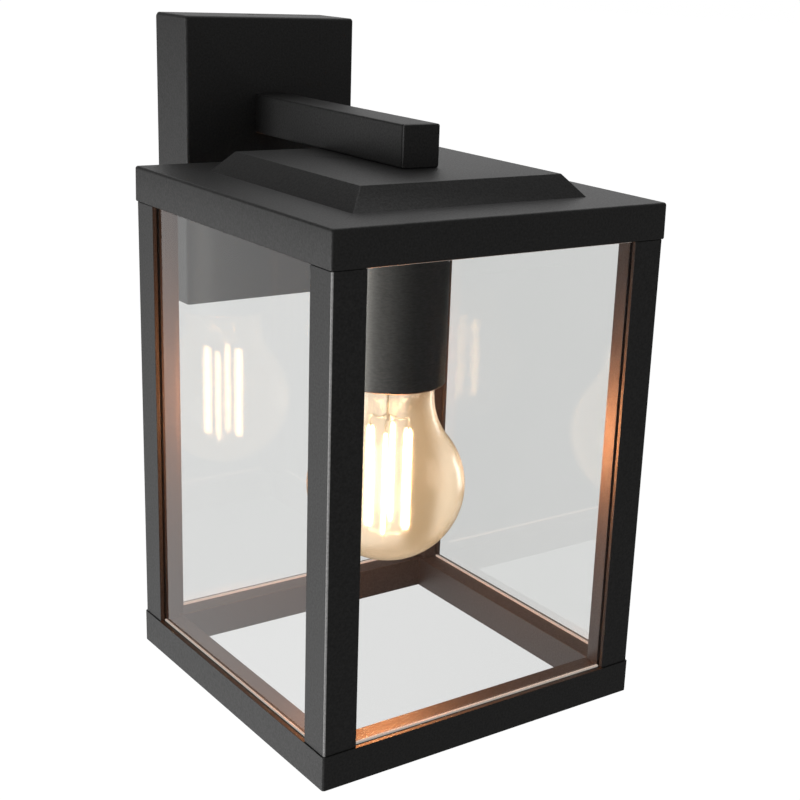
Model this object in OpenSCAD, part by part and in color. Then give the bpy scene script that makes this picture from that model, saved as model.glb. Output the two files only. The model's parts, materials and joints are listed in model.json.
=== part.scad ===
// Outdoor wall lantern: a square glazed cage that hangs from an arm on a wall plate,
// with a lampholder in a sleeve and one filament lamp.
// Millimetres, +Z up. The origin is the centre of the wall plate on the wall (y = 0),
// and the lantern stands out towards -Y.

/* [Wall plate] */
// Width of the wall plate
plate_w = 79; // [70:1:100]
// Height of the wall plate
plate_h = 118; // [110:1:140]
// Depth of the wall plate from the wall
plate_d = 28; // [26:1:36]
// Thickness of the sheet of the wall plate
plate_t = 2; // [2:0.5:3]
// Radius of the four corners of the wall plate
plate_corner_r = 1.3; // [1:0.1:2]
// Distance between the centres of the two slotted wall screw holes
slot_spacing = 72; // [68:1:76]
// Length of a slotted wall screw hole
slot_len = 14; // [10:1:16]
// Width of a slotted wall screw hole
slot_w = 5; // [4:0.5:6]

/* [Arm] */
// Outside width of the square arm
arm_w = 16; // [15:0.5:18]
// Wall thickness of the arm
arm_t = 1.5; // [1:0.25:2]
// Distance from the wall to the axis of the lamp
axis_out = 122; // [115:1:140]
// Length of the arm past the axis of the lamp
arm_nose = 16.4; // [12:0.1:20]
// Height of the middle of the arm above the origin
arm_z = 20; // [18:1:24]

/* [Roof] */
// Width of the roof and of the base ring, both square
roof_w = 145; // [140:1:160]
// Height of the rim of the roof
roof_h = 13.7; // [12:0.1:18]
// Width of the foot of the raised step on the roof
step_w = 104; // [96:1:110]
// Width of the top of the raised step
step_top_w = 89; // [80:1:94]
// Height of the raised step
step_h = 8; // [6:0.5:8]
// Wall thickness of the roof casting
roof_t = 2.5; // [2:0.25:3]

/* [Cage] */
// Height from the top of the roof rim to the underside of the base ring
body_h = 201; // [190:1:230]
// Outside width of a corner post
post_w = 13.5; // [13:0.25:15]
// Depth of the side of a post that faces a pane
post_side = 10.2; // [9:0.1:10.8]
// How far the posts stand in from the faces of the roof
post_inset = 0.5; // [0.25:0.25:1]
// Height of the base ring
ring_h = 13.4; // [12:0.2:18]
// Width of the top face of the base ring
ring_w = 12.5; // [12:0.25:14]
// Height of the silicone strip under each pane
seal_h = 0.7; // [0.5:0.1:1.2]
// Height of the silicone strip over each pane
head_h = 0.4; // [0.3:0.1:0.6]
// Thickness of a post's lip outside the glass
lip_t = 1.7; // [1.5:0.1:2]
// Width of the glass groove in a post
groove_w = 2.3; // [2.2:0.05:2.4]
// Thickness of the glass
glass_t = 2; // [1.8:0.1:2]

/* [Lampholder] */
// Outside diameter of the lampholder sleeve
sleeve_d = 43; // [42:0.5:46]
// Length of the lampholder sleeve
sleeve_len = 63; // [58:1:66]
// Wall thickness of the sleeve
sleeve_t = 1.2; // [1:0.1:1.4]

/* [Lamp] */
// Diameter of the lamp's glass
lamp_d = 62; // [60:1:66]
// Overall length of the lamp, from its contact to the bottom of its glass
lamp_len = 107; // [104:1:112]
// Radius of the neck of the glass where it leaves the sleeve
lamp_neck_r = 17.3; // [16.5:0.1:17.5]
// Number of filaments
filament_count = 4; // [2:1:6]

/* [Hidden] */
$fn = 48;

coat = "#2b2c2e";
zinc = "#b9bcc0";
brass = "#c9a54e";
black_rubber = "#151515";
silicone = "#d8d2c8";

// Heights, from the top of the raised step down to the underside of the base ring
axis_y = -axis_out;
arm_bottom = arm_z - arm_w / 2;
step_top = arm_bottom;
roof_top = step_top - step_h;
rim_bottom = roof_top - roof_h;
seam = 0.1;
post_top = rim_bottom - seam;
base_bottom = roof_top - body_h;
ring_top = base_bottom + ring_h;
carrier_t = 2;
carrier_top = post_top + carrier_t;

// Half widths of the square plan
roof_half = roof_w / 2;
post_half = roof_half - post_inset;
carrier_half = roof_half - roof_t - 0.5;

// Threads and screws: M10 x 1 hollow nipples, M4 screws
nipple_r = 5;
nipple_bore_r = 3.5;
nipple_hole_r = 5.1;
thread_gap = 0.05;
m4_r = 1.95;
m4_bore_r = 2;
m4_hole_r = 2.2;
port_in = 6;
port_at = post_half - port_in;
boss_at = 54;

// Wall plate
gasket_t = 1.5;
plate_front = -plate_d;
plate_inner_front = plate_front + plate_t;
strap_t = 2;
strap_w = 20;
ear_gap = 0.2;
ear_z = plate_h / 2 - plate_t - ear_gap;
ear_depth = 14;
cover_screw_y = -9.5;
earth_z = 12;
block_z = -10;
pole_x = 4.6;
block_w = 18.4;
m3_r = 1.4;
m3_hole_r = 1.5;
pole_y = -11;

// Lampholder and lamp, by height
sleeve_top = post_top;
sleeve_bottom = sleeve_top - sleeve_len;
washer_t = 1;
nut_t = 3;
nut_flats_r = 7;
holder_top = sleeve_top - 6.5;
dome_bottom = holder_top - 19.5;
skirt_bottom = dome_bottom - 31;
insert_bottom = dome_bottom - 3.5;
contact_t = 0.6;
lamp_top = insert_bottom - contact_t - 0.3;
lamp_bottom = lamp_top - lamp_len;
lamp_r = lamp_d / 2;
lamp_mid = lamp_bottom + lamp_r;
glass_wall = 0.8;
cap_rim = lamp_top - 25.8;

// ---------------------------------------------------------------- helpers

// Moves its children from the axis of the lamp to their place
module on_axis(z = 0) {
    translate([0, axis_y, z]) children();
}

// Repeats its children at the four corners of a square with the given half width
module at_corners(half) {
    for (sx = [-1, 1])
        for (sy = [-1, 1])
            translate([sx * half, sy * half, 0]) children();
}

// A square or rectangular block, centred in plan, from z = low to z = high
module block(w, d, low, high) {
    translate([-w / 2, -d / 2, low]) cube([w, d, high - low]);
}

// The same block with ball-rounded corners and edges
module soft_block(w, d, low, high, r_top, r_bottom) {
    hull() {
        for (sx = [-1, 1])
            for (sy = [-1, 1]) {
                translate([sx * (w / 2 - r_top), sy * (d / 2 - r_top), high - r_top])
                    sphere(r_top, $fn = 32);
                translate([sx * (w / 2 - r_bottom), sy * (d / 2 - r_bottom), low + r_bottom])
                    sphere(r_bottom, $fn = 32);
            }
    }
}

// A flat rectangle with round corners, exact arcs
module round_rect(w, h, r) {
    square([w - 2 * r, h], center = true);
    square([w, h - 2 * r], center = true);
    for (sx = [-1, 1])
        for (sy = [-1, 1])
            translate([sx * (w / 2 - r), sy * (h / 2 - r)]) circle(r);
}

// A ring from z = low to z = high
module ring(r_out, r_in, low, high) {
    difference() {
        translate([0, 0, low]) cylinder(r = r_out, h = high - low);
        translate([0, 0, low - 1]) cylinder(r = r_in, h = high - low + 2);
    }
}

// A hexagonal nut from z = low up, with a true round bore
module hex_nut(low, thick) {
    difference() {
        translate([0, 0, low]) cylinder(r = nut_flats_r / cos(30), h = thick, $fn = 6);
        translate([0, 0, low - 1]) cylinder(r = nipple_r + thread_gap, h = thick + 2);
    }
}

// A straight rod between two points
module rod(a, b, r) {
    v = b - a;
    len = norm(v);
    tilt = acos(v[2] / len);
    turn = atan2(v[1], v[0]);
    translate(a) rotate([0, tilt, turn]) cylinder(r = r, h = len, $fn = 16);
}

// A pan head M4 screw: head on z = 0 upwards, shank down
module pan_screw(len) {
    difference() {
        union() {
            rotate_extrude() polygon([
                [0, 2.6], for (a = [90 : -15 : 0]) [2 + 1.75 * cos(a), 0.85 + 1.75 * sin(a)],
                [3.75, 0], [0, 0]]);
            translate([0, 0, -len]) cylinder(r = m4_r, h = len);
        }
        translate([0, 0, 1.5]) {
            block(0.9, 4.4, 0, 2);
            block(4.4, 0.9, 0, 2);
        }
    }
}

// A countersunk M4 screw: flush face at z = 0, shank down
module flush_screw(len) {
    difference() {
        union() {
            rotate_extrude() polygon([[0, 0], [3.7, 0], [3.7, -0.2], [m4_r, -1.95], [0, -1.95]]);
            translate([0, 0, -len]) cylinder(r = m4_r, h = len - 1);
        }
        translate([0, 0, -1.2]) {
            block(0.9, 4, 0, 2);
            block(4, 0.9, 0, 2);
        }
    }
}

// The hole for a flush screw whose face is at z = 0, cut downwards
module flush_hole(depth) {
    translate([0, 0, -depth]) cylinder(r = m4_hole_r, h = depth + 1);
    rotate_extrude() polygon([[0, 0.5], [3.9, 0.5], [3.9, -0.3], [m4_hole_r, -2.1], [0, -2.1]]);
}

// ---------------------------------------------------------------- wall side

module mounting_bracket() {
    color(zinc) difference() {
        union() {
            translate([-strap_w / 2, -strap_t, -ear_z]) cube([strap_w, strap_t, 2 * ear_z]);
            for (side = [-1, 1])
                translate([-strap_w / 2, -ear_depth, side * (ear_z - strap_t / 2) - strap_t / 2])
                    cube([strap_w, ear_depth, strap_t]);
        }
        for (side = [-1, 1]) {
            translate([0, cover_screw_y, side * ear_z - 5]) cylinder(r = m4_bore_r, h = 10);
            translate([0, 0, side * slot_spacing / 2]) wall_slot();
        }
        translate([0, 1, earth_z]) rotate([90, 0, 0]) cylinder(r = m4_bore_r, h = strap_t + 2);
        translate([0, 1, block_z]) rotate([90, 0, 0]) cylinder(r = m3_hole_r, h = strap_t + 2);
    }
}

// One slotted hole of the bracket, long way up
module wall_slot() {
    reach = (slot_len - slot_w) / 2;
    translate([0, 1, 0]) rotate([90, 0, 0]) {
        for (end = [-1, 1])
            translate([0, end * reach, 0]) cylinder(d = slot_w, h = strap_t + 2);
        translate([-slot_w / 2, -reach, 0]) cube([slot_w, 2 * reach, strap_t + 2]);
    }
}

module wall_gasket() {
    color(black_rubber) rotate([90, 0, 0]) linear_extrude(gasket_t) difference() {
        round_rect(plate_w - 1, plate_h - 1, plate_corner_r);
        round_rect(plate_w - 9, 2 * ear_z + 0.6, 2);
    }
}

module wall_plate() {
    color(coat) difference() {
        rotate([90, 0, 0]) soft_plate(plate_w, plate_h, gasket_t, plate_d, plate_corner_r);
        rotate([90, 0, 0]) translate([0, 0, -1])
            linear_extrude(plate_d - plate_t + 1)
                round_rect(plate_w - 2 * plate_t, plate_h - 2 * plate_t, 1);
        translate([0, plate_front - 1, arm_z]) rotate([-90, 0, 0])
            cylinder(r = nipple_hole_r, h = plate_t + 2);
        for (side = [0, 1])
            mirror([0, 0, side]) translate([0, cover_screw_y, plate_h / 2]) flush_hole(5);
    }
}

// The outside of the wall plate: the same small round on the corners and the front edge
module soft_plate(w, h, low, high, r) {
    hull() {
        for (sx = [-1, 1])
            for (sy = [-1, 1])
                translate([sx * (w / 2 - r), sy * (h / 2 - r), low]) {
                    cylinder(r = r, h = high - low - r, $fn = 32);
                    translate([0, 0, high - low - r]) sphere(r, $fn = 32);
                }
    }
}

module cover_screws() {
    color(coat) for (side = [0, 1])
        mirror([0, 0, side]) translate([0, cover_screw_y, plate_h / 2 - 0.05]) flush_screw(10);
}

module earth_screw() {
    color(brass) translate([0, -strap_t - 0.8, earth_z]) rotate([90, 0, 0]) pan_screw(2.7);
}

// Ring terminal under the earth screw, with its barrel upwards
module earth_lug() {
    color("silver") {
        translate([0, -strap_t, earth_z]) rotate([90, 0, 0]) difference() {
            union() {
                cylinder(r = 4, h = 0.8);
                translate([-1.6, 0, 0]) cube([3.2, 6, 0.8]);
            }
            translate([0, 0, -1]) cylinder(r = 2.1, h = 3);
        }
        translate([0, -strap_t - 1.75, earth_z]) ring(1.75, 1.05, 5.3, 11);
    }
}

module terminal_block() {
    color("ivory") difference() {
        union() {
            translate([-block_w / 2, -16, block_z - 8]) cube([block_w, 9, 16]);
            translate([-block_w / 2, -7, block_z - 6]) cube([block_w, 7 - strap_t, 12]);
        }
        translate([0, 0, block_z]) rotate([90, 0, 0]) cylinder(r = m3_hole_r, h = 20);
        for (side = [-1, 1]) {
            translate([side * pole_x, pole_y, block_z - 9]) cylinder(r = 2.5, h = 18);
            for (z = [-4.5, 4.5])
                translate([side * pole_x, -17, block_z + z]) rotate([-90, 0, 0])
                    cylinder(r = 1.6, h = 6);
        }
    }
}

module terminal_inserts() {
    color(brass) for (side = [-1, 1])
        translate([side * pole_x, pole_y, 0]) difference() {
            ring(2.45, 1.5, block_z - 7, block_z + 7);
            for (z = [-4.5, 4.5])
                translate([0, -4, block_z + z]) rotate([-90, 0, 0]) cylinder(r = 1.3, h = 4);
        }
}

module terminal_screws() {
    color(zinc) for (side = [-1, 1])
        for (z = [-4.5, 4.5])
            translate([side * pole_x, -15.2, block_z + z]) rotate([-90, 0, 0]) difference() {
                cylinder(r = 1.2, h = 3.2);
                block(0.5, 3, -1, 0.7);
            }
}

// The screw that holds the terminal block on the strap
module block_screw() {
    color(zinc) translate([0, 0, block_z]) rotate([90, 0, 0]) difference() {
        union() {
            cylinder(r = m3_r, h = 16.5);
            translate([0, 0, 16]) cylinder(r = 2.8, h = 1.6);
        }
        block(0.6, 6, 16.9, 18);
    }
}

// ---------------------------------------------------------------- arm

module arm() {
    tip = arm_t;
    color(coat) difference() {
        translate([0, plate_front, arm_z]) rotate([90, 0, 0])
            linear_extrude(axis_out + arm_nose - tip - plate_d) difference() {
                round_rect(arm_w, arm_w, 0.8);
                square(arm_w - 2 * arm_t, center = true);
            }
        on_axis(arm_bottom - 1) cylinder(r = nipple_hole_r, h = arm_t + 2);
    }
}

module arm_end_cap() {
    plug = arm_w - 2 * arm_t - 0.2;
    color(coat) translate([0, axis_y - arm_nose, arm_z]) rotate([-90, 0, 0]) {
        linear_extrude(arm_t) round_rect(arm_w, arm_w, 0.8);
        difference() {
            block(plug, plug, arm_t, arm_t + 6);
            block(plug - 3, plug - 3, arm_t, arm_t + 7);
        }
    }
}

// Two tapped blocks inside the arm: one at the wall plate, one over the roof
module arm_thread_blocks() {
    side = arm_w - 2 * arm_t - 0.1;
    rear = plate_front - 1;
    color("silver") {
        difference() {
            translate([-side / 2, rear - 14, arm_z - side / 2]) cube([side, 14, side]);
            translate([0, rear - 15, arm_z]) rotate([-90, 0, 0])
                cylinder(r = nipple_r + thread_gap, h = 16);
        }
        on_axis() difference() {
            block(side, 14, arm_bottom + arm_t, arm_bottom + arm_t + 6);
            translate([0, 0, arm_bottom]) cylinder(r = nipple_r + thread_gap, h = 10);
        }
    }
}

module plate_nipple() {
    color(zinc) translate([0, plate_front + 7.5, arm_z]) rotate([90, 0, 0])
        ring(nipple_r, nipple_bore_r, 0, 21.5);
}

module roof_nipple() {
    color(zinc) on_axis()
        ring(nipple_r, nipple_bore_r, holder_top - 8, arm_bottom + arm_t + 6);
}

module nipple_nuts() {
    color(zinc) {
        translate([0, plate_inner_front + washer_t, arm_z]) rotate([-90, 0, 0])
            hex_nut(0, nut_t);
        on_axis() hex_nut(sleeve_top - sleeve_t - washer_t - nut_t, nut_t);
    }
}

module nipple_washers() {
    color(zinc) {
        translate([0, plate_inner_front, arm_z]) rotate([-90, 0, 0])
            ring(9, nipple_r + thread_gap, 0, washer_t);
        on_axis() ring(9, nipple_r + thread_gap, sleeve_top - sleeve_t - washer_t,
            sleeve_top - sleeve_t);
    }
}

module roof_seal() {
    color(black_rubber) on_axis() ring(7.4, nipple_hole_r, step_top - 1, step_top);
}

// ---------------------------------------------------------------- roof and cage

// The raised step of the roof: a low four-sided pyramid with its top cut off
module step_block(foot, top, low, high, r) {
    hull() {
        for (sx = [-1, 1])
            for (sy = [-1, 1]) {
                translate([sx * (foot / 2 - r), sy * (foot / 2 - r), low])
                    cylinder(r = r, h = 0.2, $fn = 32);
                translate([sx * (top / 2 - r), sy * (top / 2 - r), high - r])
                    sphere(r, $fn = 32);
            }
    }
}

module roof() {
    under = roof_top - roof_t;
    inner = roof_w - 2 * roof_t;
    color(coat) on_axis() difference() {
        union() {
            difference() {
                union() {
                    soft_block(roof_w, roof_w, rim_bottom, roof_top, 1.1, 0.7);
                    step_block(step_w, step_top_w, roof_top - 1, step_top, 0.6);
                }
                block(inner, inner, rim_bottom - 1, under);
                step_block(step_w - 6, step_top_w - 6, under - 0.2, step_top - roof_t, 0.8);
            }
            at_corners(boss_at)
                translate([0, 0, carrier_top]) cylinder(r = 4, h = under - carrier_top + 0.5);
        }
        translate([0, 0, step_top - roof_t - 1]) cylinder(r = nipple_hole_r, h = roof_t + 2);
        translate([0, 0, step_top - 1]) cylinder(r = 7.5, h = 2);
        at_corners(boss_at)
            translate([0, 0, carrier_top - 1]) cylinder(r = m4_bore_r, h = 9.5);
    }
}

module ceiling_plate() {
    color(coat) on_axis() difference() {
        translate([0, 0, post_top]) linear_extrude(carrier_t)
            round_rect(2 * carrier_half, 2 * carrier_half, 2);
        translate([0, 0, post_top - 1]) {
            cylinder(r = nipple_hole_r, h = carrier_t + 2);
            at_corners(boss_at) cylinder(r = m4_hole_r, h = carrier_t + 2);
            at_corners(port_at) cylinder(r = m4_hole_r, h = carrier_t + 2);
        }
    }
}

module ceiling_screws() {
    color(coat) on_axis() at_corners(boss_at)
        translate([0, 0, post_top]) mirror([0, 0, 1]) pan_screw(9);
}

module post_screws() {
    color(zinc) on_axis() at_corners(port_at)
        translate([0, 0, carrier_top]) scale(0.9) pan_screw(14);
}

// Section of a corner post: its outer corner is at the origin, its sides run along +X and +Y
module post_section() {
    round_r = 0.9;
    groove_deep = post_w - post_side + 0.5;
    difference() {
        union() {
            translate([round_r, 0]) square([post_w - round_r, post_w]);
            translate([0, round_r]) square([2 * round_r, post_w - round_r]);
            translate([round_r, round_r]) circle(round_r);
        }
        translate([post_side, post_side]) square(post_w);
        translate([post_w - groove_deep, lip_t]) square([post_w, groove_w]);
        translate([lip_t, post_w - groove_deep]) square([groove_w, post_w]);
    }
}

// A corner post; sx and sy say which corner it stands at
module corner_post(sx, sy) {
    color(coat) on_axis()
        mirror([sx > 0 ? 1 : 0, 0, 0]) mirror([0, sy > 0 ? 1 : 0, 0])
            translate([-post_half, -post_half, ring_top]) difference() {
                linear_extrude(post_top - ring_top) post_section();
                translate([port_in, port_in, -1])
                    cylinder(r = m4_bore_r, h = post_top - ring_top + 2);
            }
}

module corner_post_front_left() { corner_post(-1, -1); }
module corner_post_front_right() { corner_post(1, -1); }
module corner_post_rear_left() { corner_post(-1, 1); }
module corner_post_rear_right() { corner_post(1, 1); }

glass_bottom = ring_top + seal_h;
glass_top = post_top - head_h;
glass_out = post_half - lip_t - (groove_w - glass_t) / 2;

module base_ring() {
    window = roof_w - 2 * ring_w;
    color(coat) on_axis() difference() {
        translate([0, 0, base_bottom]) linear_extrude(ring_h) difference() {
            round_rect(roof_w, roof_w, 1.2);
            square(window, center = true);
        }
        at_corners(port_at) translate([0, 0, base_bottom]) mirror([0, 0, 1])
            flush_hole(ring_h + 2);
    }
}

module base_screws() {
    color(zinc) on_axis() at_corners(port_at)
        translate([0, 0, base_bottom + 0.05]) mirror([0, 0, 1]) flush_screw(26);
}

// One pane, standing at the front; turn puts it at another side
module pane(turn) {
    half_w = post_half - post_side + 0.1;
    color("#cfe3dc", 0.35) on_axis() rotate(turn)
        translate([-half_w, -glass_out, glass_bottom])
            cube([2 * half_w, glass_t, glass_top - glass_bottom]);
}

module glass_front() { pane(0); }
module glass_right() { pane(90); }
module glass_rear() { pane(180); }
module glass_left() { pane(-90); }

// Pale silicone strips under and over each pane
module glass_seals() {
    color(silicone) on_axis() for (turn = [0 : 90 : 270])
        rotate(turn) {
            seal_strip(ring_top, seal_h);
            seal_strip(glass_top, head_h);
        }
}

module seal_strip(low, h) {
    half_w = post_half - post_w - 0.3;
    translate([-half_w, -glass_out, low]) cube([2 * half_w, glass_t, h]);
}

// ---------------------------------------------------------------- lampholder

module lampholder_sleeve() {
    r = sleeve_d / 2;
    color(coat) on_axis() rotate_extrude() polygon([
        [nipple_hole_r, sleeve_top], [r - 1, sleeve_top],
        for (a = [90 : -15 : 0]) [r - 1 + cos(a), sleeve_top - 1 + sin(a)],
        [r, sleeve_bottom + 0.4], [r - 0.4, sleeve_bottom], [r - sleeve_t + 0.3, sleeve_bottom],
        [r - sleeve_t, sleeve_bottom + 0.3], [r - sleeve_t, sleeve_top - sleeve_t],
        [nipple_hole_r, sleeve_top - sleeve_t]]);
}

module lampholder_dome() {
    neck = nipple_r + thread_gap;
    color("#1c1c1c") on_axis() rotate_extrude() polygon([
        [neck, holder_top], [8.5, holder_top], [8.5, holder_top - 6],
        for (a = [0 : 15 : 75]) [8.5 + 8.5 * sin(a), dome_bottom + 13.5 - 8 * (1 - cos(a))],
        [17, dome_bottom + 4], [17, dome_bottom], [15, dome_bottom], [15, dome_bottom + 5],
        for (a = [60 : -15 : 0]) [8 + 7 * sin(a), dome_bottom + 11.5 - 6 * (1 - cos(a))],
        [neck, dome_bottom + 11.5]]);
}

module lampholder_skirt() {
    color("#1c1c1c") on_axis() rotate_extrude() polygon([
        [17, dome_bottom], [17, skirt_bottom + 0.8], [16.2, skirt_bottom],
        [14.8, skirt_bottom], [14.2, skirt_bottom + 0.6], [14.2, insert_bottom - 1],
        [15.4, insert_bottom - 1], [15.4, dome_bottom]]);
}

module lampholder_insert() {
    color("white") on_axis() difference() {
        translate([0, 0, insert_bottom]) cylinder(r = 15.3, h = dome_bottom - insert_bottom);
        for (side = [-1, 1])
            translate([side * 9, 0, insert_bottom - 1]) cylinder(r = m4_bore_r, h = 6);
    }
}

// Threaded contact shell of the lampholder: a thin tube with a flange at its top
module lampholder_shell() {
    shell_r = 13.45;
    color(brass) on_axis() rotate_extrude() polygon([
        [10, insert_bottom], [shell_r + 0.5, insert_bottom], [shell_r + 0.5, skirt_bottom + 3],
        [shell_r, skirt_bottom + 3], [shell_r, insert_bottom - 0.5], [10, insert_bottom - 0.5]]);
}

// Spring strip that presses on the lamp's centre contact
module lampholder_contact() {
    color(brass) on_axis() {
        translate([-3, -7, insert_bottom - contact_t]) cube([6, 14, contact_t]);
    }
}

// Two terminal screws on the insert, inside the dome
module lampholder_terminals() {
    color(brass) on_axis() for (side = [-1, 1])
        translate([side * 9, 0, dome_bottom]) pan_screw(3);
}

// ---------------------------------------------------------------- lamp

// Points of an arc, from angle a0 to a1
function arc(cx, cz, r, a0, a1, n) =
    [for (i = [0 : n]) let (a = a0 + (a1 - a0) * i / n) [cx + r * cos(a), cz + r * sin(a)]];

neck_arc_r = 30;
neck_arc_x = lamp_neck_r + neck_arc_r;
neck_arc_h = sqrt(pow(lamp_r + neck_arc_r, 2) - pow(neck_arc_x, 2));
tangent_a = atan2(neck_arc_h, neck_arc_x);
cap_neck_r = 11.8;

// Half outline of the glass, t inside its outer face: ball, hollow curve, neck, cap neck
function glass_outline(t) = concat(
    arc(0, lamp_mid, lamp_r - t, -90, tangent_a, 28),
    arc(neck_arc_x, lamp_mid + neck_arc_h, neck_arc_r + t, 180 + tangent_a, 180, 10),
    [[lamp_neck_r - t, lamp_mid + 43.5], [cap_neck_r - t, cap_rim - 0.2 + t / 3],
     [cap_neck_r - t, cap_rim + 6]]);

function reversed(list) = [for (i = [len(list) - 1 : -1 : 0]) list[i]];

module bulb_glass() {
    color("#e0a850", 0.4) on_axis() rotate_extrude($fn = 96)
        polygon(concat(glass_outline(0), reversed(glass_outline(glass_wall))));
}

// Screw cap: rounded ridges at the thread's pitch on a thin shell
module bulb_cap() {
    pitch = 3.62;
    root = 12.4;
    crest = 0.75;
    low = cap_rim + 3.4;
    color("#c8c8c4") on_axis() rotate_extrude() polygon(concat(
        [[cap_neck_r + 0.15, cap_rim], [13.25, cap_rim], [13.25, cap_rim + 2.4]],
        [for (i = [0 : 40]) let (z = i * pitch / 8)
            [root + crest * (0.5 - 0.5 * cos(360 * z / pitch)), low + z]],
        [[11.6, low + 19], [8.4, lamp_top - 1.8], [7.6, lamp_top - 1.8],
         [10.6, low + 18.4], [cap_neck_r - 0.2, low + 17],
         [cap_neck_r - 0.2, cap_rim + 7.5], [cap_neck_r + 0.15, cap_rim + 7]]));
}

module bulb_insulator() {
    color("#101014") on_axis() rotate_extrude() polygon([
        [4.6, lamp_top - 0.9], [7.5, lamp_top - 1.7], [7.5, lamp_top - 2.2],
        [8.5, lamp_top - 4.2], [4.6, lamp_top - 4.2]]);
}

module bulb_contact() {
    color("silver") on_axis() rotate_extrude() polygon([
        [0, lamp_top], for (a = [75 : -15 : 0]) [4.5 * cos(a), lamp_top - 1.2 + 1.2 * sin(a)],
        [4.5, lamp_top - 3.2], [0, lamp_top - 3.2]]);
}

stem_tip = lamp_mid + 27;

module bulb_stem() {
    color("#e8f0f0", 0.5) on_axis() rotate_extrude() polygon([
        [0, cap_rim + 2.5], [3, cap_rim + 2.5], [4.2, cap_rim + 3.6], [10.7, cap_rim + 4.6],
        [10.7, cap_rim + 3.8], [6, cap_rim + 1], [3.6, cap_rim - 4], [3.1, cap_rim - 9],
        [3, stem_tip + 3], [2.4, stem_tip + 0.8], [1.4, stem_tip], [0, stem_tip]]);
}

filament_top = lamp_mid + 24;
filament_bottom = lamp_mid - 19;
filament_r = 1.5;
filament_ring_r = 7.6;
spoke_ring_r = 8.2;

// Ends of filament k and of the wire over it
function filament_high(k) = let (a = 45 + 360 * k / filament_count)
    [filament_ring_r * cos(a), filament_ring_r * sin(a), filament_top];
function spoke_end(k) = let (a = 45 + 360 * k / filament_count)
    [spoke_ring_r * cos(a), spoke_ring_r * sin(a), filament_top + 5];
function filament_low(k) = let (a = 45 + 360 * k / filament_count)
    [filament_ring_r * cos(a), filament_ring_r * sin(a), filament_bottom];

module bulb_filaments() {
    color("#ffd27a") on_axis() for (k = [0 : filament_count - 1])
        rod(filament_high(k), filament_low(k), filament_r);
}

// Wires that carry the filaments: spokes from the stem, a centre wire and spokes below
module filament_supports() {
    lead_r = 0.3;
    foot = [0, 0, filament_bottom - 3];
    color("silver") on_axis() {
        rod([0, 0, stem_tip + 0.5], foot, lead_r);
        for (k = [0 : filament_count - 1]) {
            rod([0, 0, stem_tip + 2.5], spoke_end(k), lead_r);
            rod(spoke_end(k), filament_high(k) + [0, 0, 0.4], lead_r);
            rod(foot, filament_low(k) - [0, 0, 0.4], lead_r);
        }
    }
}

// ---------------------------------------------------------------- wires

wire_r = 0.9;
wire_sides = 8;
steps = 3;

// A smooth curve through the points of a route
function spline_at(p, i, t) =
    let (a = p[max(i - 1, 0)], b = p[i], c = p[i + 1], d = p[min(i + 2, len(p) - 1)])
    0.5 * (2 * b + (c - a) * t + (2 * a - 5 * b + 4 * c - d) * t * t
        + (3 * b - 3 * c + d - a) * t * t * t);
function smooth(p) = concat(
    [for (i = [0 : len(p) - 2]) for (k = [0 : steps - 1]) spline_at(p, i, k / steps)],
    [p[len(p) - 1]]);

function unit(v) = v / norm(v);
function heading(p, i) = unit(p[min(i + 1, len(p) - 1)] - p[max(i - 1, 0)]);

// One ring of the tube, square to its heading
function tube_ring(p, i) =
    let (h = heading(p, i), side = unit(cross(h, [1, 0, 0])), up = cross(side, h))
    [for (k = [0 : wire_sides - 1]) let (a = 360 * k / wire_sides)
        p[i] + wire_r * (cos(a) * side + sin(a) * up)];

// A round wire along a route: one polyhedron
module wire(route) {
    p = smooth(route);
    n = len(p);
    s = wire_sides;
    points = [for (i = [0 : n - 1]) each tube_ring(p, i)];
    walls = [for (i = [0 : n - 2]) for (k = [0 : s - 1])
        [i * s + k, (i + 1) * s + k, (i + 1) * s + (k + 1) % s, i * s + (k + 1) % s]];
    ends = [[for (k = [0 : s - 1]) k], [for (k = [s - 1 : -1 : 0]) (n - 1) * s + k]];
    polyhedron(points, concat(walls, ends));
}

// Route of a live or neutral wire: terminal block, plate nipple, arm, roof nipple, lampholder
function mains_route(side) = [
    [side * 4.6, -11, -6], [side * 4.6, -11, 0], [side * 4.2, -11.6, 8], [side * 3, -13.6, 15],
    [side * 1.6, -18, 18.8], [side * 1.4, -24, 19.2], [side * 1.4, -34, 19.2],
    [side * 1.6, -44, 19.6], [side * 2.4, -60, 22], [side * 2.6, -80, 24.2],
    [side * 2.4, -104, 24.6], [side * 2, -116, 24.4], [side * 1.6, -120.8, 21.6],
    [side * 1.5, -122.4, 16], [side * 1.5, -122.6, 6], [side * 1.5, -122.6, -12],
    [side * 1.6, -122.5, -22], [side * 4, -122.2, -27], [side * 7.6, -122, -30]];

earth_route = [
    [0, -3.75, 18.5], [0, -3.75, 23.5], [0, -5.5, 26.4], [0, -9.5, 27], [0, -14, 24.6],
    [0, -18.5, 22], [0, -24, 21.6], [0, -34, 21.6], [0, -44, 21.4], [0, -60, 20.8],
    [0, -80, 21.2], [0, -100, 22.2], [0, -110, 22.8], [0, -116.6, 22.8], [0, -119.8, 20.6],
    [0, -120.7, 16.5], [0, -120.7, 4], [0, -120.7, -12], [0, -120.7, -21], [0, -119.6, -24]];

module wire_live() { color("saddlebrown") wire(mains_route(-1)); }
module wire_neutral() { color("steelblue") wire(mains_route(1)); }
module wire_earth() { color("yellowgreen") wire(earth_route); }

// ---------------------------------------------------------------- nodes

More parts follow.
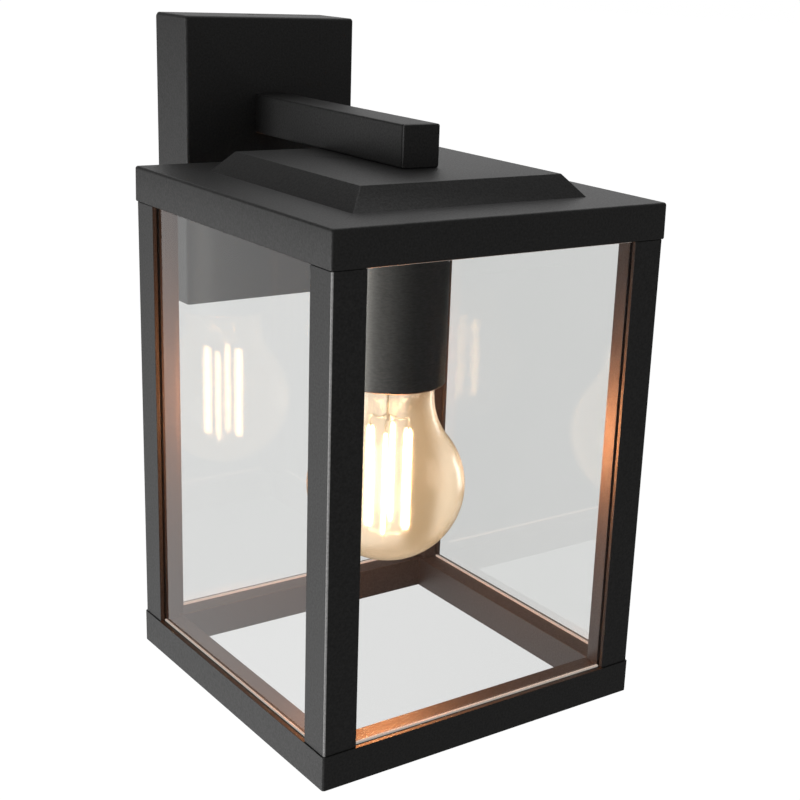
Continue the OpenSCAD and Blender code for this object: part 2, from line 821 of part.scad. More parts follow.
mounting_bracket();
wall_gasket();
wall_plate();
cover_screws();
earth_screw();
earth_lug();
terminal_block();
terminal_inserts();
terminal_screws();
block_screw();
arm();
arm_end_cap();
arm_thread_blocks();
plate_nipple();
roof_nipple();
nipple_nuts();
nipple_washers();
roof_seal();
roof();
ceiling_plate();
ceiling_screws();
post_screws();
corner_post_front_left();
corner_post_front_right();
corner_post_rear_left();
corner_post_rear_right();
base_ring();
base_screws();
glass_front();
glass_rear();
glass_left();
glass_right();
glass_seals();
lampholder_sleeve();
lampholder_dome();
lampholder_skirt();
lampholder_insert();
lampholder_shell();
lampholder_contact();
lampholder_terminals();
bulb_glass();
bulb_cap();
bulb_insulator();
bulb_contact();
bulb_stem();
bulb_filaments();
filament_supports();
wire_live();
wire_neutral();
wire_earth();
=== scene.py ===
import json
import math

import bmesh
import bpy
from mathutils import Matrix, Vector


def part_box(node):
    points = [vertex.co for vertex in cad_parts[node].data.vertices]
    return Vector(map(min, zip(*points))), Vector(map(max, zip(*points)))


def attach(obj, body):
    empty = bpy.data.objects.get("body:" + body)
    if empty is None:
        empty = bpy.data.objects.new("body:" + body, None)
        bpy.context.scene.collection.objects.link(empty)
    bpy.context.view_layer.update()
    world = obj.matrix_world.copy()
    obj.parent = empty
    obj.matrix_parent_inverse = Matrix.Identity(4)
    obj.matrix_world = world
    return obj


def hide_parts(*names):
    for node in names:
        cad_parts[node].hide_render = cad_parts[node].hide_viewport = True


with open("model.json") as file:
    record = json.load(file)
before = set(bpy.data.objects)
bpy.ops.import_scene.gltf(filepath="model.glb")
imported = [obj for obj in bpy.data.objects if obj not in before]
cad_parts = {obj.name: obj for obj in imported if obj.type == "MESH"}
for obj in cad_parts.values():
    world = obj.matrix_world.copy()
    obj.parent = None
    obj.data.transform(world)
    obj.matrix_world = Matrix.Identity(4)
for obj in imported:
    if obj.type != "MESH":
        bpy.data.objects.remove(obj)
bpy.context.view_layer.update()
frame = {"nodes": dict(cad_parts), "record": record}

MM = 0.001
NODES = frame["nodes"]
BODIES = frame["record"]["behaviour"]["bodies"]
BODY_OF = {node: body for body, nodes in BODIES.items() for node in nodes}
SLOT_OF = {part["node"]: part["material_slot"] for part in frame["record"]["subparts"]}

# ------------------------------------------------------------------ camera

CAMERA_AT = Vector((-0.31511, -0.58645, 0.08767))
CAMERA_RIGHT = Vector((0.7959, -0.60346, 0.04879))
CAMERA_UP = Vector((0.14992, 0.27452, 0.94982))

camera_data = bpy.data.cameras.new("camera")
camera_data.lens = 66.48
camera_data.sensor_width = 36
camera_data.shift_x = -0.1054
camera_data.shift_y = 0.0446
camera_data.clip_start = 0.01
camera = bpy.data.objects.new("camera", camera_data)
bpy.context.scene.collection.objects.link(camera)
right = CAMERA_RIGHT.normalized()
back = right.cross(CAMERA_UP.normalized()).normalized()
up = back.cross(right)
camera.matrix_world = Matrix.Translation(CAMERA_AT) @ Matrix((right, up, back)).transposed().to_4x4()
bpy.context.scene.camera = camera
bpy.context.scene.view_settings.view_transform = "Standard"

# ------------------------------------------------------------------ helpers


def link(obj):
    bpy.context.scene.collection.objects.link(obj)
    return obj


def mesh_object(name, bm, smooth=True):
    mesh = bpy.data.meshes.new(name)
    bm.to_mesh(mesh)
    bm.free()
    for poly in mesh.polygons:
        poly.use_smooth = smooth
    return link(bpy.data.objects.new(name, mesh))


def paint(obj, material):
    obj.data.materials.clear()
    obj.data.materials.append(material)
    return obj


def place(piece, node, material, *others):
    """A piece that stands for CAD nodes: same body, same slot."""
    paint(piece, material)
    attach(piece, BODY_OF[node])
    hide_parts(node, *others)
    return piece


BEVEL_SEGMENTS = 2
SHARP_ANGLE = math.radians(32)


def softened(node, width):
    """A copy of a CAD node with small rounds along its sharp edges."""
    bm = bmesh.new()
    bm.from_mesh(NODES[node].data)
    bmesh.ops.remove_doubles(bm, verts=bm.verts, dist=2e-6)
    bmesh.ops.dissolve_limit(bm, angle_limit=math.radians(0.5), verts=bm.verts, edges=bm.edges)
    piece = mesh_object(node + "_finished", bm)
    bevel = piece.modifiers.new("bevel", "BEVEL")
    bevel.width = width * MM
    bevel.segments = BEVEL_SEGMENTS
    bevel.limit_method = "ANGLE"
    bevel.angle_limit = SHARP_ANGLE
    bevel.harden_normals = True
    bevel.use_clamp_overlap = True
    piece.data.set_sharp_from_angle(angle=SHARP_ANGLE)
    apply_modifiers(piece)
    return piece


def apply_modifiers(piece):
    bpy.context.view_layer.update()
    graph = bpy.context.evaluated_depsgraph_get()
    made = bpy.data.meshes.new_from_object(piece.evaluated_get(graph), depsgraph=graph)
    piece.modifiers.clear()
    piece.data = made


# ------------------------------------------------------------------ materials


class Nodes:
    """A small builder for one material's node tree."""

    def __init__(self, name):
        self.material = bpy.data.materials.new(name)
        self.material.use_nodes = True
        self.tree = self.material.node_tree
        self.shader = self.tree.nodes["Principled BSDF"]
        self.output = self.tree.nodes["Material Output"]
        self.coords = self.node("ShaderNodeTexCoord").outputs["Object"]

    def node(self, kind, **values):
        made = self.tree.nodes.new(kind)
        for key, value in values.items():
            setattr(made, key, value)
        return made

    def link(self, a, b):
        self.tree.links.new(a, b)

    def set(self, **values):
        for key, value in values.items():
            self.shader.inputs[key.replace("_", " ")].default_value = value

    def noise(self, scale, detail=3.0, rough=0.5, stretch=None):
        source = self.coords
        if stretch:
            mapping = self.node("ShaderNodeMapping")
            mapping.inputs["Scale"].default_value = stretch
            self.link(source, mapping.inputs["Vector"])
            source = mapping.outputs["Vector"]
        noise = self.node("ShaderNodeTexNoise")
        noise.inputs["Scale"].default_value = scale
        noise.inputs["Detail"].default_value = detail
        noise.inputs["Roughness"].default_value = rough
        self.link(source, noise.inputs["Vector"])
        return noise.outputs["Fac"]

    def ramp(self, fac, stops):
        ramp = self.node("ShaderNodeValToRGB")
        elements = ramp.color_ramp.elements
        for i, (at, colour) in enumerate(stops):
            element = elements[i] if i < 2 else elements.new(at)
            element.position = at
            element.color = colour if len(colour) == 4 else (*colour, 1)
        self.link(fac, ramp.inputs["Fac"])
        return ramp.outputs["Color"]

    def spread(self, fac, low, high, from_low=0.3, from_high=0.7):
        spread = self.node("ShaderNodeMapRange")
        limits = {"From Min": from_low, "From Max": from_high, "To Min": low, "To Max": high}
        for key, value in limits.items():
            spread.inputs[key].default_value = value
        self.link(fac, spread.inputs["Value"])
        return spread.outputs["Result"]

    def shade(self, socket, fac, dark, light, dark_at=0.3, light_at=0.7):
        """Runs one of the shader's colours from dark to light along a noise."""
        self.link(self.ramp(fac, [(dark_at, dark), (light_at, light)]), self.shader.inputs[socket])

    def vary_roughness(self, fac, low, high):
        self.link(self.spread(fac, low, high), self.shader.inputs["Roughness"])

    def bump(self, height, strength, depth, under=None):
        bump = self.node("ShaderNodeBump")
        bump.inputs["Strength"].default_value = strength
        bump.inputs["Distance"].default_value = depth * MM
        self.link(height, bump.inputs["Height"])
        if under:
            self.link(under, bump.inputs["Normal"])
        return bump.outputs["Normal"]


GRAIN_SCALE = 1250


def powder_coat(name, stretch=None, paler=1.0, smooth=0.0, shine=0.5, relief=1.0):
    """Fine-textured matt black powder coat: small rounded grains."""
    n = Nodes(name)
    grain = n.noise(GRAIN_SCALE, 2.5, 0.55, stretch)
    low, high = 0.015 * paler, 0.036 * paler
    n.shade("Base Color", grain, (low, low, low), (high, high, high * 0.99), light_at=0.72)
    n.vary_roughness(grain, 0.52 - smooth, 0.44 - smooth)
    wave = n.bump(n.noise(520, 2, 0.5, stretch), 0.4 * relief, 0.12)
    n.link(n.bump(grain, 0.8 * relief, 0.11, wave), n.shader.inputs["Normal"])
    n.set(Specular_IOR_Level=shine)
    return n.material


def painted_highlight_coat():
    """The same coat with a painted highlight: pale colour along an outer corner, and a little smoother
    there.
    """
    n = Nodes("painted_highlight_coat")
    grain = n.noise(GRAIN_SCALE, 2.5, 0.55)
    n.shade("Base Color", grain, (0.42, 0.416, 0.412), (0.66, 0.655, 0.65), light_at=0.72)
    n.vary_roughness(grain, 0.42, 0.32)
    n.link(n.bump(grain, 0.5, 0.06), n.shader.inputs["Normal"])
    return n.material


def plain_finish(name, dark, light, roughness, scale, metallic=0.0, bump=0.15, stretch=None):
    """A finish whose colour, roughness and relief vary with one noise."""
    n = Nodes(name)
    fac = n.noise(scale, 4, 0.55, stretch)
    n.shade("Base Color", fac, dark, light)
    n.vary_roughness(n.noise(scale * 0.31, 3), roughness * 0.85, roughness * 1.2)
    n.link(n.bump(fac, bump, 0.05), n.shader.inputs["Normal"])
    n.set(Metallic=metallic)
    return n.material


def let_lamps_through(n, tint):
    """Lets light from lamps pass the glass straight, tinted."""
    path = n.node("ShaderNodeLightPath")
    clear = n.node("ShaderNodeBsdfTransparent")
    clear.inputs["Color"].default_value = (*tint, 1)
    mix = n.node("ShaderNodeMixShader")
    n.link(path.outputs["Is Shadow Ray"], mix.inputs["Fac"])
    n.link(n.shader.outputs["BSDF"], mix.inputs[1])
    n.link(clear.outputs["BSDF"], mix.inputs[2])
    n.link(mix.outputs["Shader"], n.output.inputs["Surface"])


def pane_glass():
    """Clear float glass with faint unevenness from the rollers."""
    n = Nodes("pane_glass")
    n.shade("Base Color", n.noise(14, 2), (0.972, 0.98, 0.972), (0.984, 0.99, 0.984))
    n.set(Transmission_Weight=1.0, IOR=1.58)
    n.vary_roughness(n.noise(35, 2), 0.0, 0.003)
    let_lamps_through(n, (0.91, 0.92, 0.91))
    return n.material


LAMP_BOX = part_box("bulb_glass")
LAMP_X, LAMP_Y = 0.0, (LAMP_BOX[0][1] + LAMP_BOX[1][1]) / 2
BALL_R = LAMP_BOX[1][0] - LAMP_X
LAMP_MID = LAMP_BOX[0][2] + BALL_R
FILAMENT_TOP = LAMP_MID + 24 * MM
FILAMENT_BOTTOM = LAMP_MID - 19 * MM
FILAMENT_MIDDLE = (LAMP_X, LAMP_Y, (FILAMENT_TOP + FILAMENT_BOTTOM) / 2)
FILAMENT_GLOW = 30.0
LACQUER_SHADE = (0.98, 0.66, 0.48)
LACQUER_GLOW = [(0.0, (0.02, 0.012, 0.006)), (1.0, (0.12, 0.085, 0.048))]
GLOW_FROM, GLOW_TO = 31 * MM, 55 * MM


def amber_glass():
    """Lamp glass with a thin, slightly cloudy amber lacquer, which glows most beside the filaments."""
    n = Nodes("amber_glass")
    n.shade("Base Color", n.noise(40, 2), (0.984, 0.915, 0.82), (0.992, 0.935, 0.86))
    n.vary_roughness(n.noise(60, 2), 0.11, 0.15)
    off = n.node("ShaderNodeVectorMath", operation="DISTANCE")
    n.link(n.coords, off.inputs[0])
    off.inputs[1].default_value = FILAMENT_MIDDLE
    near = n.spread(off.outputs["Value"], 1.0, 0.0, GLOW_FROM, GLOW_TO)
    n.link(n.ramp(near, LACQUER_GLOW), n.shader.inputs["Emission Color"])
    n.set(Transmission_Weight=1.0, IOR=1.47, Emission_Strength=1.0)
    n.material.cycles.emission_sampling = "NONE"
    let_lamps_through(n, LACQUER_SHADE)
    return n.material


def lit_filament():
    """Lit phosphor strip. It only looks bright; lamp_light below is what lights other pieces."""
    n = Nodes("lit_filament")
    fac = n.noise(900, 2)
    n.shade("Base Color", fac, (1.0, 0.62, 0.22), (1.0, 0.70, 0.30))
    n.shade("Emission Color", fac, (1.0, 0.66, 0.36), (1.0, 0.73, 0.44))
    n.set(Roughness=0.5, Emission_Strength=FILAMENT_GLOW)
    n.material.cycles.emission_sampling = "NONE"
    return n.material


def clear_silicone():
    """Translucent silicone; a weak glow stands in for the lamp's light that it carries."""
    n = Nodes("clear_silicone")
    fac = n.noise(400, 3)
    n.shade("Base Color", fac, (0.20, 0.19, 0.18), (0.26, 0.25, 0.235))
    n.shade("Emission Color", fac, (1.0, 0.90, 0.80), (1.0, 0.94, 0.86))
    n.vary_roughness(fac, 0.28, 0.42)
    n.set(Emission_Strength=0.35)
    return n.material


def striped_wire():
    """Earth wire insulation: green with yellow stripes along it."""
    n = Nodes("earth_insulation")
    wave = n.node("ShaderNodeTexWave", bands_direction="X")
    wave.inputs["Scale"].default_value = 180
    n.link(n.coords, wave.inputs["Vector"])
    n.shade("Base Color", wave.outputs["Fac"], (0.03, 0.22, 0.05), (0.75, 0.62, 0.04), 0.45, 0.55)
    n.vary_roughness(n.noise(300), 0.3, 0.42)
    return n.material


def stem_glass():
    """Clear glass of the stem inside the lamp."""
    n = Nodes("stem_glass")
    n.shade("Base Color", n.noise(200, 2), (0.93, 0.95, 0.94), (0.97, 0.98, 0.97))
    n.set(Transmission_Weight=1.0, IOR=1.47, Roughness=0.02)
    let_lamps_through(n, (0.92, 0.94, 0.93))
    return n.material


LOOKS = {
    "black_coat": powder_coat("powder_coat"),
    "pale_silicone": clear_silicone(),
    "zinc_steel": plain_finish(
        "zinc_plate", (0.50, 0.52, 0.56), (0.70, 0.71, 0.73), 0.32, 700, 1.0),
    "black_rubber": plain_finish(
        "black_rubber", (0.012, 0.012, 0.012), (0.03, 0.03, 0.03), 0.75, 900, bump=0.4),
    "brass": plain_finish(
        "brass", (0.66, 0.45, 0.16), (0.85, 0.63, 0.27), 0.3, 600, 1.0),
    "tinned_metal": plain_finish(
        "tinned_metal", (0.60, 0.60, 0.60), (0.78, 0.77, 0.75), 0.35, 500, 1.0),
    "aluminium": plain_finish(
        "milled_aluminium", (0.60, 0.61, 0.62), (0.80, 0.80, 0.81), 0.38, 300, 1.0, stretch=(1, 8, 1)),
    "ivory_plastic": plain_finish(
        "ivory_plastic", (0.70, 0.66, 0.55), (0.80, 0.77, 0.67), 0.45, 300),
    "black_plastic": plain_finish(
        "black_plastic", (0.015, 0.015, 0.015), (0.03, 0.03, 0.03), 0.4, 400),
    "white_ceramic": plain_finish(
        "white_ceramic", (0.74, 0.72, 0.68), (0.84, 0.83, 0.80), 0.55, 500),
    "clear_glass": pane_glass(),
    "amber_glass": amber_glass(),
    "lamp_stem_glass": stem_glass(),
    "dark_glass": plain_finish(
        "vitrite", (0.008, 0.008, 0.012), (0.02, 0.02, 0.03), 0.12, 200),
    "nickel_cap": plain_finish(
        "nickel_cap", (0.55, 0.54, 0.51), (0.74, 0.73, 0.70), 0.25, 500, 1.0),
    "glowing_filament": lit_filament(),
    "brown_wire": plain_finish(
        "brown_insulation", (0.16, 0.06, 0.025), (0.24, 0.10, 0.04), 0.35, 300),
    "blue_wire": plain_finish(
        "blue_insulation", (0.03, 0.13, 0.38), (0.05, 0.2, 0.5), 0.35, 300),
    "green_yellow_wire": striped_wire(),
}

for name, obj in NODES.items():
    look = LOOKS[SLOT_OF[name]]
    if obj.material_slots:
        for material_slot in obj.material_slots:
            material_slot.material = look
    else:
        obj.data.materials.append(look)

# ------------------------------------------------------------------ housing

SOFT_EDGES = {
    "arm": 0.5,
    "arm_end_cap": 0.5,
    "wall_plate": 0.3,
    "roof": 0.3,
    "ceiling_plate": 0.4,
    "base_ring": 0.8,
    "corner_post_front_left": 0.25,
    "corner_post_front_right": 0.25,
    "corner_post_rear_left": 0.25,
    "corner_post_rear_right": 0.25,
}
COATS = {
    "arm": powder_coat("arm_powder_coat", shine=0.35),
    "arm_end_cap": powder_coat("cap_powder_coat", paler=1.4),
}
for node, width in SOFT_EDGES.items():
    place(softened(node, width), node, COATS.get(node, LOOKS["black_coat"]))
# The pale band on the front-left post's outer corner is a painted highlight line, not wear; only its lower
# roughness is a smoother edge.
HIGHLIGHT_BAND = 0.25
highlit_post_mesh = bpy.data.objects["corner_post_front_left_finished"].data
highlit_post_mesh.materials.append(painted_highlight_coat())
for poly in highlit_post_mesh.polygons:
    if poly.normal.x < -HIGHLIGHT_BAND and poly.normal.y < -HIGHLIGHT_BAND:
        poly.material_index = 1
SPUN_GRAIN = (0.45, 0.45, 1.3)
# paler=1.3 gives the sleeve a paler copy of the black coat: painted lightening that stands in for light on
# it. The stretched grain is its own texture.
spun_coat = powder_coat("spun_powder_coat", SPUN_GRAIN, paler=1.3, smooth=0.12, relief=0.45)
for slot in NODES["lampholder_sleeve"].material_slots:
    slot.material = spun_coat

# ------------------------------------------------------------------ lamp

LAMP_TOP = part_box("bulb_contact")[1][2]
NECK_R = 17.3 * MM
NECK_ARC_R = 30 * MM
CAP_NECK_R = 11.8 * MM
NECK_END = 43.5 * MM
GLASS_WALL = 0.8 * MM
CAP_LENGTH = 25.8 * MM
CAP_RIM = LAMP_TOP - CAP_LENGTH
LATHE_STEPS = 160


def lathe(name, outline, steps=LATHE_STEPS, closed=False, radius_at=None):
    """A surface of revolution round the lamp's axis, from (radius, height) points."""
    bm = bmesh.new()
    rings = []
    for radius, height in outline:
        row = []
        for k in range(steps):
            angle = 2 * math.pi * k / steps
            r = radius_at(radius, height, angle) if radius_at else radius
            x, y = LAMP_X + r * math.cos(angle), LAMP_Y + r * math.sin(angle)
            row.append(bm.verts.new((x, y, height)))
        rings.append(row)
    pairs = list(zip(rings, rings[1:]))
    if closed:
        pairs.append((rings[-1], rings[0]))
    for low, high in pairs:
        for k in range(steps):
            nxt = (k + 1) % steps
            bm.faces.new((low[k], low[nxt], high[nxt], high[k]))
    bmesh.ops.remove_doubles(bm, verts=bm.verts, dist=1e-7)
    bmesh.ops.recalc_face_normals(bm, faces=bm.faces)
    piece = mesh_object(name, bm)
    piece.data.set_sharp_from_angle(angle=math.radians(40))
    return piece


def arc(cx, cz, radius, start, end, count):
    """Points of an arc, angles in radians."""
    turns = [start + (end - start) * i / count for i in range(count + 1)]
    return [(cx + radius * math.cos(t), cz + radius * math.sin(t)) for t in turns]


def glass_outline(inset):
    """Half outline of the lamp glass: ball, hollow curve, neck and the neck in the cap."""
    neck_x = NECK_R + NECK_ARC_R
    neck_h = math.sqrt((BALL_R + NECK_ARC_R) ** 2 - neck_x ** 2)
    meet = math.atan2(neck_h, neck_x)
    return (
        arc(0, LAMP_MID, BALL_R - inset, -math.pi / 2, meet, 60)
        + arc(neck_x, LAMP_MID + neck_h, NECK_ARC_R + inset, math.pi + meet, math.pi, 24)
        + [
            (NECK_R - inset, LAMP_MID + NECK_END),
            (CAP_NECK_R - inset, CAP_RIM - 0.2 * MM + inset / 3),
            (CAP_NECK_R - inset, CAP_RIM + 6 * MM),
        ]
    )


glass = lathe("bulb_glass_smooth", glass_outline(0.0) + glass_outline(GLASS_WALL)[::-1])
place(glass, "bulb_glass", LOOKS["amber_glass"])

PITCH = 3.62 * MM
THREAD_LOW = CAP_RIM + 3.4 * MM
THREAD_HIGH = THREAD_LOW + 18.2 * MM
THREAD_ROOT = 12.4 * MM
THREAD_CREST = 0.75 * MM


def threaded(radius, height, angle):
    """Radius of the rolled thread: a helix that fades out at both its ends."""
    if radius < THREAD_ROOT - 1e-6 or not THREAD_LOW < height < THREAD_HIGH:
        return radius
    ends = min(height - THREAD_LOW, THREAD_HIGH - height) / (0.35 * PITCH)
    wave = 0.5 - 0.5 * math.cos(2 * math.pi * (height - THREAD_LOW) / PITCH - angle)
    return THREAD_ROOT + THREAD_CREST * wave * min(1.0, ends)


THREAD_ROWS = 72
RIM_R = 13.25 * MM
rim = [
    (CAP_NECK_R + 0.15 * MM, CAP_RIM),
    (13.1 * MM, CAP_RIM),
    (RIM_R, CAP_RIM + 0.3 * MM),
    (RIM_R, CAP_RIM + 2.1 * MM),
    (13.0 * MM, CAP_RIM + 2.5 * MM),
    (THREAD_ROOT, CAP_RIM + 3.0 * MM),
]
thread_step = (THREAD_HIGH - THREAD_LOW) / THREAD_ROWS
thread = [(THREAD_ROOT, THREAD_LOW + thread_step * i) for i in range(THREAD_ROWS + 1)]
top_and_inside = [
    (11.6 * MM, THREAD_LOW + 19 * MM),
    (8.4 * MM, LAMP_TOP - 1.8 * MM),
    (7.6 * MM, LAMP_TOP - 1.8 * MM),
    (10.6 * MM, THREAD_LOW + 18.4 * MM),
    (CAP_NECK_R - 0.2 * MM, THREAD_LOW + 17 * MM),
    (CAP_NECK_R - 0.2 * MM, CAP_RIM + 7.5 * MM),
    (CAP_NECK_R + 0.15 * MM, CAP_RIM + 7 * MM),
]
cap_outline = rim + thread + top_and_inside
cap = lathe("bulb_cap_threaded", cap_outline, closed=True, radius_at=threaded)
place(cap, "bulb_cap", LOOKS["nickel_cap"])

STEM_TIP = LAMP_MID + 27 * MM
stem_outline = [(r * MM, CAP_RIM + z * MM) for r, z in (
    (0.0, 2.5), (3, 2.5), (3.4, 2.7), (4.2, 3.6), (6.5, 4.3), (10.7, 4.6), (10.7, 3.8), (8.2, 3.0), (6, 1),
    (4.5, -1.4), (3.6, -4), (3.25, -6.5), (3.1, -9))]
stem_outline += [(r * MM, STEM_TIP + z * MM) for r, z in (
    (3.0, 3), (2.8, 1.6), (2.4, 0.8), (1.4, 0), (0.0, 0))]
stem = lathe("bulb_stem_drawn", stem_outline, steps=64)
place(stem, "bulb_stem", LOOKS["lamp_stem_glass"])

FILAMENT_COUNT = 4
FOOT_Z = FILAMENT_BOTTOM - 3 * MM


def around(radius, k, height):
    """A point at filament k's azimuth, radius in millimetres."""
    turn = math.radians(45 + 360 * k / FILAMENT_COUNT)
    reach = radius * MM
    return Vector((LAMP_X + reach * math.cos(turn), LAMP_Y + reach * math.sin(turn), height))


def tube(bm, path, radii, sides=12, flat=1.0, side=None):
    """Adds a closed tube along points; it is radii wide along side, and flat times that across."""
    rows = []
    for i, point in enumerate(path):
        ahead = (path[min(i + 1, len(path) - 1)] - path[max(i - 1, 0)]).normalized()
        side = side or ahead.orthogonal().normalized()
        side = (side - ahead * side.dot(ahead)).normalized()
        over = ahead.cross(side)
        radius = radii[i] if isinstance(radii, (list, tuple)) else radii
        rows.append([
            bm.verts.new(point + radius * (math.cos(a) * side + flat * math.sin(a) * over))
            for a in (2 * math.pi * k / sides for k in range(sides))])
    for low, high in zip(rows, rows[1:]):
        for k in range(sides):
            bm.faces.new((low[k], low[(k + 1) % sides], high[(k + 1) % sides], high[k]))
    bm.faces.new(rows[0][::-1])
    bm.faces.new(rows[-1])


def curve(points, steps=6):
    """A smooth run through the points."""
    made = []
    for i in range(len(points) - 1):
        a, b = points[max(i - 1, 0)], points[i]
        c, d = points[i + 1], points[min(i + 2, len(points) - 1)]
        for k in range(steps):
            t = k / steps
            made.append(0.5 * (2 * b + (c - a) * t + (2 * a - 5 * b + 4 * c - d) * t * t
                               + (3 * b - 3 * c + d - a) * t ** 3))
    made.append(points[-1].copy())
    return made


RING_R = 7.6
STRIP_HALF = 1.5 * MM
STRIP_FLAT = 0.42
STRIP_ROWS = 24
strips = bmesh.new()
for k in range(FILAMENT_COUNT):
    high, low = around(RING_R, k, FILAMENT_TOP), around(RING_R, k, FILAMENT_BOTTOM)
    path = [high.lerp(low, i / STRIP_ROWS) for i in range(STRIP_ROWS + 1)]
    radii = [
        STRIP_HALF * (0.6 if i in (0, STRIP_ROWS) else 0.95 + 0.05 * (i % 2))
        for i in range(STRIP_ROWS + 1)]
    tube(strips, path, radii, sides=20, flat=STRIP_FLAT, side=around(1, k, 0) - around(0, k, 0))
filaments = mesh_object("bulb_filaments_coated", strips)
place(filaments, "bulb_filaments", LOOKS["glowing_filament"])
filaments.visible_shadow = False
filaments.visible_diffuse = False
glass.visible_diffuse = False

lamp_light_data = bpy.data.lights.new("lamp_light", "POINT")
lamp_light_data.energy = 0.9
lamp_light_data.color = (1.0, 0.74, 0.48)
lamp_light_data.shadow_soft_size = 5 * MM
lamp_light = link(bpy.data.objects.new("lamp_light", lamp_light_data))
lamp_light.location = FILAMENT_MIDDLE
lamp_light.parent = filaments
lamp_light.visible_camera = False
lamp_light.visible_transmission = False


def light_only(light, name, pieces):
    """Lets a light fall on these pieces only."""
    group = bpy.data.collections.new(name)
    for piece in pieces:
        group.objects.link(piece)
    light.light_linking.receiver_collection = group


LEAD_R = 0.3 * MM
CLAMP_R = 0.95 * MM
leads = bmesh.new()
foot = Vector((LAMP_X, LAMP_Y, FOOT_Z))
mast_top = Vector((LAMP_X, LAMP_Y, STEM_TIP + 0.5 * MM))
tube(leads, [mast_top.lerp(foot, i / 4) for i in range(5)], LEAD_R)
for k in range(FILAMENT_COUNT):
    high, low = around(RING_R, k, FILAMENT_TOP), around(RING_R, k, FILAMENT_BOTTOM)
    upper = curve([
        around(0.4, k, STEM_TIP + 2.5 * MM), around(4, k, FILAMENT_TOP + 3.6 * MM),
        around(7.0, k, FILAMENT_TOP + 4.7 * MM), around(8.1, k, FILAMENT_TOP + 3.0 * MM),
        high + Vector((0, 0, 0.4 * MM))])
    tube(leads, upper, LEAD_R)
    lower = curve([foot, around(2.6, k, FOOT_Z + 0.2 * MM), around(6.2, k, FOOT_Z + 1.0 * MM),
                   low - Vector((0, 0, 0.4 * MM))])
    tube(leads, lower, LEAD_R)
    for end, way in ((high, 1), (low, -1)):
        clamp = [end - Vector((0, 0, way * 1.6 * MM)), end + Vector((0, 0, way * 0.5 * MM))]
        tube(leads, clamp, CLAMP_R, flat=0.5)
supports = mesh_object("filament_supports_bent", leads)
place(supports, "filament_supports", LOOKS["tinned_metal"])

# The photo shows the wall plate dark, and light on glass would carry on to what is behind it.
UNLIT_BY_LAMP = (
    "wall_plate", "wall_plate_finished", "glass_front", "glass_rear", "glass_left", "glass_right",
    "bulb_glass", "bulb_glass_smooth", "bulb_stem", "bulb_stem_drawn")
light_only(lamp_light, "lit_by_lamp", [
    piece for piece in bpy.context.scene.objects
    if piece.type == "MESH" and piece.name not in UNLIT_BY_LAMP])

# ------------------------------------------------------------------ stage and light


FLOOR_RADIUS = 40
FLOOR_HEIGHT = -1.2
FLOOR_GLOW = 0.80
FILL = 0.17
LANTERN_MIDDLE = Vector((0, -0.122, -0.09))


def math_node(tree, operation, first, second):
    """The result of a Math node on two sockets or numbers."""
    made = tree.nodes.new("ShaderNodeMath")
    made.operation = operation
    for value, socket in zip((first, second), made.inputs):
        if isinstance(value, (int, float)):
            socket.default_value = value
        else:
            tree.links.new(value, socket)
    return made.outputs["Value"]


def ray_kinds(tree):
    """A Light Path node, and one for rays that have met no matt or glossy surface, else zero."""
    path = tree.nodes.new("ShaderNodeLightPath")
    depths = ("Diffuse Depth", "Glossy Depth")
    tests = [math_node(tree, "LESS_THAN", path.outputs[depth], 0.5) for depth in depths]
    return path, math_node(tree, "MULTIPLY", *tests)


def stage_floor():
    """A wide floor far below the lantern: white seen directly, pale grey through glass."""
    bm = bmesh.new()
    bmesh.ops.create_circle(bm, cap_ends=True, segments=96, radius=FLOOR_RADIUS)
    obj = mesh_object("stage_floor", bm, smooth=False)
    obj.location.z = FLOOR_HEIGHT
    n = Nodes("stage_pale")
    n.shade("Base Color", n.noise(0.8, 2), (0.05, 0.05, 0.05), (0.055, 0.055, 0.055))
    n.set(Roughness=0.9, Emission_Color=(1, 1, 1, 1))
    path, first = ray_kinds(n.tree)
    brightest = math_node(n.tree, "MAXIMUM", FLOOR_GLOW, path.outputs["Is Camera Ray"])
    n.link(math_node(n.tree, "MULTIPLY", brightest, first), n.shader.inputs["Emission Strength"])
    paint(obj, n.material)
    obj.visible_glossy = False
    obj.visible_diffuse = False


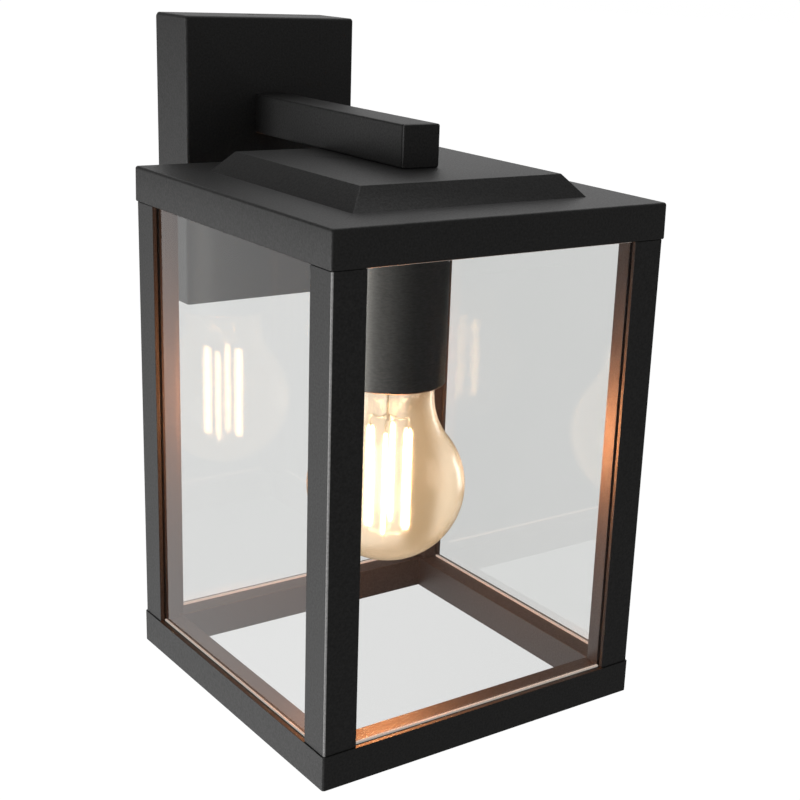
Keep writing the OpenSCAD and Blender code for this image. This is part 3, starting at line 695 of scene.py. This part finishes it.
def studio_world():
    """A weak even fill, white where it is seen directly or through glass."""
    world = bpy.data.worlds.new("studio")
    bpy.context.scene.world = world
    world.use_nodes = True
    tree = world.node_tree
    fill = tree.nodes["Background"]
    fill.inputs["Color"].default_value = (1.0, 0.99, 0.98, 1)
    fill.inputs["Strength"].default_value = FILL
    pale = tree.nodes.new("ShaderNodeBackground")
    pale.inputs["Color"].default_value = (1, 1, 1, 1)
    pale.inputs["Strength"].default_value = 1.0
    path, first = ray_kinds(tree)
    rays = path.outputs
    either = math_node(tree, "MAXIMUM", rays["Is Camera Ray"], rays["Is Transmission Ray"])
    blend = tree.nodes.new("ShaderNodeMixShader")
    tree.links.new(math_node(tree, "MULTIPLY", either, first), blend.inputs["Fac"])
    tree.links.new(fill.outputs["Background"], blend.inputs[1])
    tree.links.new(pale.outputs["Background"], blend.inputs[2])
    tree.links.new(blend.outputs["Shader"], tree.nodes["World Output"].inputs["Surface"])


def softbox(name, direction, distance, size, radiance, through=False):
    """A large soft light that faces the lantern; through lets it shine in through the glass."""
    way = Vector(direction).normalized()
    data = bpy.data.lights.new(name, "AREA")
    data.shape = "RECTANGLE"
    data.size, data.size_y = size
    data.energy = radiance * math.pi * size[0] * size[1]
    obj = link(bpy.data.objects.new(name, data))
    obj.location = LANTERN_MIDDLE + way * distance
    obj.rotation_euler = (-way).to_track_quat("-Z", "Y").to_euler()
    obj.visible_camera = False
    obj.visible_transmission = through
    return obj


stage_floor()
studio_world()
softbox("softbox_left", (-0.62, 0.70, -0.42), 2.4, (2.0, 2.2), 0.97)
softbox("softbox_back", (0.60, 0.70, 0.42), 2.6, (2.4, 1.6), 0.7)
softbox("softbox_above", (0.18, 0.30, 0.94), 2.6, (2.6, 2.6), 0.8)
softbox("softbox_side", (-0.92, 0.30, -0.25), 2.4, (1.1, 2.0), 3.7, through=True)
softbox("strip_front_left", (-0.75, -0.59, -0.40), 2.4, (0.5, 2.0), 3.0)
# Two strips that fall on one piece each, for the bright lines that the photo shows there
sleeve_strip = softbox("strip_sleeve", (-0.95, 0.31, -0.10), 2.4, (1.0, 2.0), 40.0, through=True)
sleeve_strip.data.color = (1.0, 0.94, 0.89)
light_only(sleeve_strip, "lit_by_sleeve_strip", [NODES["lampholder_sleeve"]])
lamp_strip = softbox("strip_lamp", (0.98, 0.16, -0.11), 2.4, (0.25, 0.9), 28.0, through=True)
light_only(lamp_strip, "lit_by_lamp_strip", [glass])
